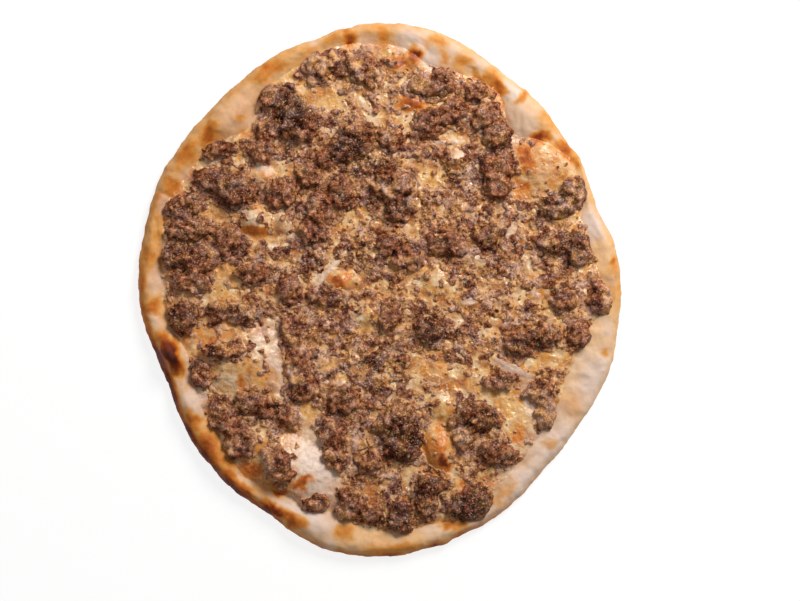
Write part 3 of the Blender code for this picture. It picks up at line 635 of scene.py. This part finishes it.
def colour_cheese(cheese):
    """Notes what the cheese looks like at each corner."""
    x, y = corners_of(cheese)[:, :2].T
    far_x, far_y = wandered(x, y)
    note(cheese, "toast", marks(far_x, far_y, TOASTED, 0.8))
    note(cheese, "pale", np.maximum(marks(far_x, far_y, PALE, 0.7), streaks(x, y)))
    note(cheese, "pool", marks(far_x, far_y, CHEESE_POOLS, 0.5))
    note(cheese, "mince", mince_share(x, y))
    note(cheese, "grain", grainy(x, y))


# ---- The meat ----
def join(pieces):
    """The pieces as one, under the first one's name."""
    deselect()
    for piece in pieces:
        piece.select_set(True)
    bpy.context.view_layer.objects.active = pieces[0]
    bpy.ops.object.join()
    return bpy.context.object


def fuse(piece, voxel, softer):
    """Melts the lumps of a piece into one mass with a single skin."""
    modify(piece, "REMESH", mode="VOXEL", voxel_size=voxel)
    modify(piece, "SMOOTH", factor=0.5, iterations=softer)


def thin_out_sunk(mince, on_cheese):
    """Leaves few faces on the part of the meat that is sunk in the cheese."""
    x, y, z = corners_of(mince).T
    thin_out(mince, z < on_cheese(x, y) - UNSEEN_DEPTH, 0.2)


def heap_mince(names, on_cheese):
    """The heaps: the frame's own, with lumps of mince strewn on them and fused to them."""
    copies = []
    for name in names:
        copies.append(bpy.data.objects.new("heap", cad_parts[name].data.copy()))
        bpy.context.scene.collection.objects.link(copies[-1])
    heaps = join(copies)
    heaps.name = heaps.data.name = "mince_heaps"
    bpy.ops.object.mode_set(mode="EDIT")
    bpy.ops.mesh.select_all(action="SELECT")
    bpy.ops.mesh.remove_doubles(threshold=0.00001)
    bpy.ops.transform.translate(value=(MIDDLE[0], MIDDLE[1], 0))
    bpy.ops.object.mode_set(mode="OBJECT")
    on_heaps = height_of(heaps)

    def over_heaps(x, y):
        """A little past the heaps' edges in places, so that they end ragged."""
        far_x, far_y = wandered(x, y)
        past = on_heaps((x + far_x) / 2, (y + far_y) / 2)
        return np.maximum(on_heaps(x, y), past) > 0

    grounds = [on_cheese, on_heaps]
    lumps = strew("lumps", 0.0029, over_heaps, (0.0012, 0.0026), 0.78, 2, grounds, 3)
    heaps = join([heaps, lumps])
    fuse(heaps, HEAP_VOXEL, 2)
    give_relief(heaps, HEAP_RELIEFS)
    thin_out_sunk(heaps, on_cheese)
    return heaps


def spread_carpet(name, density, on_cheese, seed):
    """Mince sprinkled thin and half sunk in the cheese: lumps that have run into each other."""
    coarse = strew(name, 0.0031, density, (0.0014, 0.0026), 1.2, 2, [on_cheese], seed)
    fine = strew("fine", 0.0018, density, (0.0008, 0.0015), 1.05, 1, [on_cheese], seed + 1)
    carpet = join([coarse, fine])
    fuse(carpet, CARPET_VOXEL, 3)
    give_relief(carpet, CARPET_RELIEFS)
    thin_out_sunk(carpet, on_cheese)
    return carpet


def colour_mince(mince, on_cheese, film, cover):
    """Notes the grains' tone, lighter on the high grains and darker in the hollows as painted light
    and shade, and the cheese and fat on them: all over up to the height cover above the cheese,
    in patches higher up, thickest on the high grains, partly as painted light."""
    x, y, z = corners_of(mince).T
    # Painted light and shade: grains that stand out are noted lighter, those in the hollows darker.
    high_and_lit = smooth_step(standing_out(mince), -0.0007, 0.0007)
    grains = 0.5 + 0.7 * ripple(x, y, 0.0042, 20.0) + 0.7 * ripple(x, y, 0.0019, 21.0)
    note(mince, "tone", np.clip(0.35 * high_and_lit + 0.65 * grains, 0, 1))
    patches = 0.40 + 1.8 * ripple(x, y, 0.0090, 22.0) + 0.9 * ripple(x, y, 0.0034, 23.0)
    low = smooth_step(z - on_cheese(x, y), cover, 0.0)
    film = film + 0.62 * marks(x, y, FILMED_MEAT, 0.6)
    under_pools = 0.55 * marks(*wandered(x, y), CHEESE_POOLS, 0.5)
    # The film is thickest on the high grains, partly as painted light.
    film = np.maximum.reduce([patches * film * (0.4 + 0.6 * high_and_lit), streaks(x, y), under_pools])
    note(mince, "coat", np.clip(np.maximum(0.95 * low, film), 0, 1))
    crisp = 0.6 * smooth_step(ripple(x, y, 0.0080, 24.0), 0.1, 0.5)
    note(mince, "dark", np.maximum(crisp, marks(x, y, DARK_MEAT, 0.5)))


def rough_crumb(seed, subdivisions):
    """One crumb of mince, about 1 in radius, as (corners, faces)."""
    bpy.ops.mesh.primitive_ico_sphere_add(subdivisions=subdivisions, radius=1, location=(0, 0, 0))
    crumb = bpy.context.object
    bpy.ops.object.mode_set(mode="EDIT")
    bpy.ops.mesh.select_all(action="SELECT")
    bpy.ops.transform.vertex_random(offset=0.28, uniform=0.4, normal=0.5, seed=seed)
    bpy.ops.object.mode_set(mode="OBJECT")
    corners = corners_of(crumb)
    # A pinch or two makes it a cluster of smaller grains.
    draw = random.Random(seed)
    for _ in range(3):
        side = np.array([draw.gauss(0, 1) for _ in range(3)])
        side /= np.linalg.norm(side)
        near = np.clip(corners @ side - 0.25, 0, 1)
        corners *= (1 - 0.35 * near)[:, None]
    faces = np.array([list(face.vertices) for face in crumb.data.polygons])
    bpy.data.meshes.remove(crumb.data)
    return corners, faces


def scattered(step, density, seed):
    """Points all over the topping, about a step apart, kept by the density at each."""
    draw = np.random.default_rng(seed)
    reach = MEAN_RADIUS + LENGTHENING
    side = np.arange(-reach, reach, step)
    x, y = (grid.ravel() for grid in np.meshgrid(side, side))
    x = x + draw.uniform(-0.5, 0.5, len(x)) * step
    y = y + draw.uniform(-0.5, 0.5, len(y)) * step
    inside = np.hypot(x, y) < topping_radius(np.arctan2(y, x)) - BARE_RIM
    kept = inside & (draw.uniform(0, 1, len(x)) < density(x, y))
    return x[kept], y[kept], draw


def turned(draw, count):
    """Random rotations, as matrices."""
    q = draw.normal(size=(count, 4))
    w, a, b, c = (q / np.linalg.norm(q, axis=1)[:, None]).T
    rows = [
        [1 - 2 * (b * b + c * c), 2 * (a * b - w * c), 2 * (a * c + w * b)],
        [2 * (a * b + w * c), 1 - 2 * (a * a + c * c), 2 * (b * c - w * a)],
        [2 * (a * c - w * b), 2 * (b * c + w * a), 1 - 2 * (a * a + b * b)],
    ]
    return np.array(rows).transpose(2, 0, 1)


def strew(name, step, density, size, sink, subdivisions, grounds, seed):
    """Crumbs of one kind over the topping, each resting in what lies under it: the first of the
    grounds is the cheese."""
    x, y, draw = scattered(step, density, seed)
    count = len(x)
    radius = draw.uniform(*size, count)
    ground = np.max([height(x, y) for height in grounds], axis=0)
    kinds = [rough_crumb(seed * 10 + k, subdivisions) for k in range(5)]
    shapes, faces = np.array([shape for shape, _ in kinds]), kinds[0][1]
    kind = draw.integers(0, len(kinds), count)
    spin = turned(draw, count)
    stretch = draw.uniform(0.75, 1.25, (count, 1, 3)) * radius[:, None, None]
    corners = np.einsum("nij,nkj->nki", spin, shapes[kind] * stretch)
    middle = np.column_stack([x, y, ground + radius * (1 - sink)])
    corners += middle[:, None, :]
    # Painted light: the upper side of each crumb is noted lighter and its lower side darker.
    lift_as_painted_light = (corners[:, :, 2] - middle[:, None, 2]) / radius[:, None]
    tone = (0.65 * draw.uniform(0, 1, count)[:, None] + 0.35 * (0.5 + 0.5 * lift_as_painted_light)).ravel()
    coat = smooth_step(corners[:, :, 2] - grounds[0](x, y)[:, None], 0.0022, 0.0002).ravel()
    darkness = np.repeat(marks(x, y, DARK_MEAT, 0.5), corners.shape[1])
    shift = np.arange(count)[:, None, None] * corners.shape[1]
    mesh = bpy.data.meshes.new(name)
    mesh.from_pydata(corners.reshape(-1, 3), [], (faces[None] + shift).reshape(-1, 3))
    crumbs = bpy.data.objects.new(name, mesh)
    bpy.context.scene.collection.objects.link(crumbs)
    note(crumbs, "tone", tone)
    note(crumbs, "coat", coat)
    note(crumbs, "dark", darkness)
    return crumbs


# ---- Materials ----
def linear(code):
    """A colour written as sRGB hex, in linear light."""
    channels = [int(code[at : at + 2], 16) / 255 for at in (0, 2, 4)]
    light = [c / 12.92 if c <= 0.04045 else ((c + 0.055) / 1.055) ** 2.4 for c in channels]
    return (*light, 1.0)


def feed(tree, node, inputs):
    """Gives a node its inputs: numbers, colours, other nodes, or a node's own outputs."""
    for socket, value in inputs.items():
        if isinstance(value, bpy.types.Node):
            value = next(output for output in value.outputs if output.enabled)
        if isinstance(value, bpy.types.NodeSocket):
            tree.links.new(value, node.inputs[socket])
        else:
            node.inputs[socket].default_value = value


def add(tree, kind, inputs=None, stops=(), **settings):
    """A new shader node with its settings, its inputs and its colour stops."""
    made = tree.nodes.new("ShaderNode" + kind)
    for name, value in settings.items():
        setattr(made, name, value)
    feed(tree, made, inputs or {})
    for index, (place, code) in enumerate(stops):
        bands = made.color_ramp.elements
        band = bands[index] if index < len(bands) else bands.new(place)
        band.position, band.color = place, linear(code)
    return made


def start_material(name, *noted):
    """A material, with its place on the object and the numbers that note kept under each name."""
    material = bpy.data.materials.new(name)
    material.use_nodes = True
    tree = material.node_tree
    place = add(tree, "TexCoord").outputs["Object"]
    reads = [add(tree, "Attribute", attribute_name=read).outputs["Fac"] for read in noted]
    return material, tree, place, *reads


def finish_food(tree, colour, roughness, gloss, scatter, reach, bump):
    """Hands all to the shader. Scatter is the share of the light that goes into the food, reach
    how far its red, green and blue get there."""
    inputs = {"Base Color": colour, "Roughness": roughness, "Specular IOR Level": gloss}
    inputs |= {"Subsurface Weight": scatter, "Subsurface Radius": reach, "Subsurface Scale": 1.0}
    feed(tree, tree.nodes["Principled BSDF"], inputs | {"Normal": bump})


def baked_dough():
    """Wheat dough baked on a hot stone: matt, cream where flour kept it pale, golden to brown
    where it blistered."""
    material, tree, place, toast, pale = start_material("baked wheat dough", "toast", "pale")
    # Mottling of 9 mm patches that break up into ever finer ones, and of 1.5 mm specks.
    mottling = {"Vector": place, "Scale": 120, "Detail": 7, "Roughness": 0.62}
    patches = add(tree, "TexNoise", mottling)
    specks = add(tree, "TexNoise", {"Vector": place, "Scale": 650, "Detail": 2})
    drift = add(tree, "Math", {0: patches, 1: 0.62, 2: toast}, operation="MULTIPLY_ADD")
    drift = add(tree, "Math", {0: specks, 1: 0.10, 2: drift}, operation="MULTIPLY_ADD")
    shifted = add(tree, "Math", {0: drift, 1: 0.36}, operation="SUBTRACT")
    creams = [(0.0, "e2ba91"), (0.22, "d8a771"), (0.42, "cf8d43")]
    browns = [(0.62, "bb6820"), (0.82, "782a06"), (1.0, "3c1404")]
    crust = add(tree, "ValToRGB", {"Fac": shifted}, creams + browns)
    less = add(tree, "Math", {0: pale, 1: 0.85}, operation="MULTIPLY")
    colour = add(tree, "Mix", {0: less, 6: crust, 7: linear("dac9c2")}, data_type="RGBA")
    bump = add(tree, "Bump", {"Height": specks, "Distance": 0.0004, "Strength": 0.35})
    finish_food(tree, colour, 0.62, 0.18, 0.10, (0.003, 0.0018, 0.001), bump)
    return material


def melted_cheese():
    """Melted white cheese and cream: soft gloss, pale yellow, orange and crisp where it browned."""
    names = ("toast", "pale", "pool", "mince", "grain")
    material, tree, place, toast, pale, pool, mince, grain = start_material("melted cheese", *names)
    curds = add(tree, "TexNoise", {"Vector": place, "Scale": 200, "Detail": 4})
    drops = add(tree, "TexNoise", {"Vector": place, "Scale": 105, "Detail": 6, "Roughness": 0.6})
    # Orange-tan to yellow to cream, in patches of 9 mm, lighter and darker by the curds.
    tints = [(0.38, "c47a40"), (0.46, "dda258"), (0.53, "eac48a"), (0.61, "f4e0c2")]
    tint = add(tree, "ValToRGB", {"Fac": drops}, tints)
    depths = [(0.30, "cfac88"), (0.46, "ecd9c4"), (0.60, "f9f0e6"), (0.74, "ffffff")]
    depth = add(tree, "ValToRGB", {"Fac": curds}, depths)
    thick = add(tree, "Math", {0: pool, 1: 0.35}, operation="MULTIPLY")
    yellower = add(tree, "Mix", {0: thick, 6: tint, 7: linear("ebb966")}, data_type="RGBA")
    over = {"data_type": "RGBA", "blend_type": "MULTIPLY"}
    milk = add(tree, "Mix", {0: 1.0, 6: yellower, 7: depth}, **over)
    # Cream that ran together in thin wandering streaks.
    runs = add(tree, "TexNoise", {"Vector": place, "Scale": 130, "Detail": 3, "Distortion": 1.2})
    off_line = add(tree, "Math", {0: runs, 1: 0.5}, operation="SUBTRACT")
    away = add(tree, "Math", {0: off_line}, operation="ABSOLUTE")
    streak = add(tree, "MapRange", {0: away, 2: 0.06, 3: 0.30, 4: 0.0})
    streaked = add(tree, "Mix", {0: streak, 6: milk, 7: linear("eed9ba")}, data_type="RGBA")
    # Meat under the cheese's skin shows as brown mottling of 2 mm grains.
    grains = add(tree, "TexNoise", {"Vector": place, "Scale": 330, "Detail": 4})
    stains = [(0.35, "8a5636"), (0.50, "ac7850"), (0.66, "d0a074")]
    stain = add(tree, "ValToRGB", {"Fac": drops}, stains)
    lumpy = add(tree, "Math", {0: grain, 1: 0.35, 2: grains}, operation="MULTIPLY_ADD")
    crowded = add(tree, "Math", {0: mince, 1: 0.40, 2: lumpy}, operation="MULTIPLY_ADD")
    buried = add(tree, "MapRange", {0: crowded, 1: 0.76, 2: 1.02, 4: 0.85})
    meaty = add(tree, "Mix", {0: buried, 6: streaked, 7: stain}, data_type="RGBA")
    white = add(tree, "Mix", {0: pale, 6: meaty, 7: linear("dfc7b8")}, data_type="RGBA")
    crisps = add(tree, "TexNoise", {"Vector": place, "Scale": 300, "Detail": 6, "Roughness": 0.74})
    baked = add(tree, "Math", {0: toast, 1: 0.72}, operation="MULTIPLY")
    scorch = add(tree, "Math", {0: crisps, 1: 0.85, 2: baked}, operation="MULTIPLY_ADD")
    heat = add(tree, "MapRange", {0: scorch, 1: 0.50, 2: 1.25})
    browns = [(0.07, "e6b070"), (0.35, "d88534"), (0.62, "b95e1a"), (0.90, "722a07")]
    browned = add(tree, "ValToRGB", {"Fac": heat}, browns)
    share = add(tree, "MapRange", {0: heat, 1: 0.06, 2: 0.48})
    colour = add(tree, "Mix", {0: share, 6: white, 7: browned}, data_type="RGBA")
    # Glossy where it is soft, dull where it is dry or crisp.
    dry = add(tree, "Math", {0: pale, 1: 0.25, 2: 0.18}, operation="MULTIPLY_ADD")
    dull = add(tree, "Math", {0: toast, 1: 0.30, 2: dry}, operation="MULTIPLY_ADD")
    bump = add(tree, "Bump", {"Height": grains, "Distance": 0.0016, "Strength": 0.65})
    finish_food(tree, colour, dull, 0.50, 0.15, (0.003, 0.002, 0.001), bump)
    return material


def fried_mince():
    """Minced beef fried in its own fat: mauve-brown, with tan fat on the grains and a slight grease
    gloss. The tan is thickest on the high grains and flecked pale, partly as painted light."""
    names = ("tone", "coat", "dark")
    material, tree, place, tone, coat, dark = start_material("fried minced beef", *names)
    fibres = add(tree, "TexNoise", {"Vector": place, "Scale": 400, "Detail": 6, "Roughness": 0.66})
    spots = add(tree, "MapRange", {0: fibres, 1: 0.34, 2: 0.66, 4: 0.60})
    shade = add(tree, "Math", {0: tone, 1: 0.42, 2: spots}, operation="MULTIPLY_ADD")
    deep = add(tree, "Math", {0: dark, 1: -0.25, 2: shade}, operation="MULTIPLY_ADD")
    darks = [(0.10, "150400"), (0.32, "451608"), (0.52, "73391f")]
    meat = add(tree, "ValToRGB", {"Fac": deep}, darks + [(0.72, "a26646"), (0.94, "d6a383")])
    # Mauve where the meat is leanest, in patches of 6 mm.
    lean = add(tree, "TexNoise", {"Vector": place, "Scale": 160, "Detail": 2})
    leaner = add(tree, "MapRange", {0: lean, 1: 0.50, 2: 0.72, 4: 0.35})
    mauve = add(tree, "Mix", {0: leaner, 6: meat, 7: linear("543a3c")}, data_type="RGBA")
    # Flecks of fat and cheese, 1 mm across, thickest where the film is; partly they are painted
    # highlights, tiny glints put into the colour.
    flecks = add(tree, "TexNoise", {"Vector": place, "Scale": 1000, "Detail": 2})
    fleck = add(tree, "Math", {0: coat, 1: 0.20, 2: flecks}, operation="MULTIPLY_ADD")
    flecks_and_glints = add(tree, "MapRange", {0: fleck, 1: 0.54, 2: 0.74, 4: 0.70})
    up_to_all = {"operation": "MULTIPLY_ADD", "use_clamp": True}
    film = add(tree, "Math", {0: coat, 1: 0.62, 2: flecks_and_glints}, **up_to_all)
    milks = [(0.36, "d9a265"), (0.50, "d6a67c"), (0.64, "cca48e")]
    milky = add(tree, "ValToRGB", {"Fac": lean}, milks)
    colour = add(tree, "Mix", {0: film, 6: mauve, 7: milky}, data_type="RGBA")
    grease = add(tree, "MapRange", {0: flecks, 1: 0.40, 2: 0.62, 3: 0.60, 4: 0.26})
    bump = add(tree, "Bump", {"Height": flecks, "Distance": 0.0005, "Strength": 0.5})
    finish_food(tree, colour, grease, 0.14, 0.12, (0.0020, 0.0010, 0.0006), bump)
    return material


# ---- Table, light and camera ----
FRAME_WIDTH = 0.456  # what the camera sees across, at the bread's height
CAMERA_HEIGHT = 1.3
CAMERA_OVER = (0.0114, -0.0060)  # from the point that the outline is drawn from


def set_table():
    bpy.ops.mesh.primitive_plane_add(size=6, location=(0, 0, 0))
    table = bpy.context.object
    table.name = "table"
    material = bpy.data.materials.new("white table lit from below")
    material.use_nodes = True
    matt = {"Base Color": linear("7c7c7c"), "Roughness": 0.7, "Specular IOR Level": 0.1}
    glow = {"Emission Color": linear("ffffff"), "Emission Strength": 0.83}
    feed(material.node_tree, material.node_tree.nodes["Principled BSDF"], matt | glow)
    table.data.materials.append(material)


def lamp(name, place, size, watts, colour):
    light = bpy.data.lights.new(name, "AREA")
    light.size, light.energy, light.color = size, watts, linear(colour)[:3]
    lit = bpy.data.objects.new(name, light)
    lit.location = place
    lit.rotation_euler = (-Vector(place)).to_track_quat("-Z", "Y").to_euler()
    bpy.context.scene.collection.objects.link(lit)


def light_and_camera():
    lamp("window", (0.48, 0.68, 0.80), 0.45, 14.8, "fffdf9")
    lamp("fill", (-0.9, 0.45, 1.0), 1.2, 2.5, "fbfbff")
    world = bpy.data.worlds.new("studio")
    world.use_nodes = True
    sky = world.node_tree.nodes["Background"]
    feed(world.node_tree, sky, {"Color": linear("fdfcfa"), "Strength": 0.20})
    bpy.context.scene.world = world
    lens = bpy.data.cameras.new("camera")
    lens.sensor_width = 36
    lens.lens = lens.sensor_width * CAMERA_HEIGHT / FRAME_WIDTH
    camera = bpy.data.objects.new("camera", lens)
    over = [CAMERA_OVER[k] - MIDDLE[k] for k in range(2)]
    camera.location = (*over, CAMERA_HEIGHT)
    bpy.context.scene.collection.objects.link(camera)
    bpy.context.scene.camera = camera
    bpy.context.scene.view_settings.view_transform = "Standard"


def main():
    deselect()
    mince_nodes = sorted(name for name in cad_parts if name.startswith("meat"))
    bread, ring = bake_bread()
    colour_bread(bread, ring)
    cheese = melt_cheese(bread)
    colour_cheese(cheese)
    on_cheese = height_of(cheese)
    heaps = heap_mince(mince_nodes, on_cheese)
    colour_mince(heaps, on_cheese, film=0.26, cover=0.0015)
    on_heaps = height_of(heaps)

    def beside_heaps(x, y):
        """1 near a heap, where its crumbs have fallen, and 0 elsewhere."""
        beside = np.zeros(len(x))
        for degrees in range(0, 360, 60):
            turn = math.radians(degrees)
            away_x, away_y = CRUMBS_FALL * math.cos(turn), CRUMBS_FALL * math.sin(turn)
            beside = np.maximum(beside, on_heaps(x + away_x, y + away_y) > 0)
        return beside

    def carpet_density(x, y):
        clusters = mince_share(x, y) + 0.7 * ripple(x, y, 0.0062, 15.0)
        clusters = clusters + 0.4 * ripple(x, y, 0.0030, 16.0) + 0.25 * beside_heaps(x, y)
        return smooth_step(clusters, 0.44, 0.70) * (on_heaps(x, y) < 0)

    def upper(x, y):
        return carpet_density(x, y) * (y > 0)

    def lower(x, y):
        return carpet_density(x, y) * (y <= 0)

    carpets = [
        spread_carpet("mince_carpet_upper", upper, on_cheese, 30),
        spread_carpet("mince_carpet_lower", lower, on_cheese, 40),
    ]
    for carpet in carpets:
        colour_mince(carpet, on_cheese, film=0.60, cover=0.0009)

    def loose(x, y):
        clear = smooth_step(marks(x, y, PALE + TOASTED, 0.5), 0.30, 0.05)
        return clear * (0.015 + 0.6 * mince_share(x, y) * (on_heaps(x, y) < 0))

    grounds = [on_cheese, on_heaps] + [height_of(carpet) for carpet in carpets]
    meat = fried_mince()
    kinds = [
        strew("loose_crumbs", 0.0055, loose, (0.0008, 0.0015), 0.8, 2, grounds, 13),
        strew("loose_grains", 0.0028, loose, (0.0004, 0.0008), 0.6, 1, grounds, 4),
    ]
    settle(bread, baked_dough(), ["bread"])
    settle(cheese, melted_cheese(), ["cheese"])
    settle(heaps, meat, mince_nodes)
    for mince in carpets + kinds:
        settle(mince, meat)
    set_table()
    light_and_camera()


main()
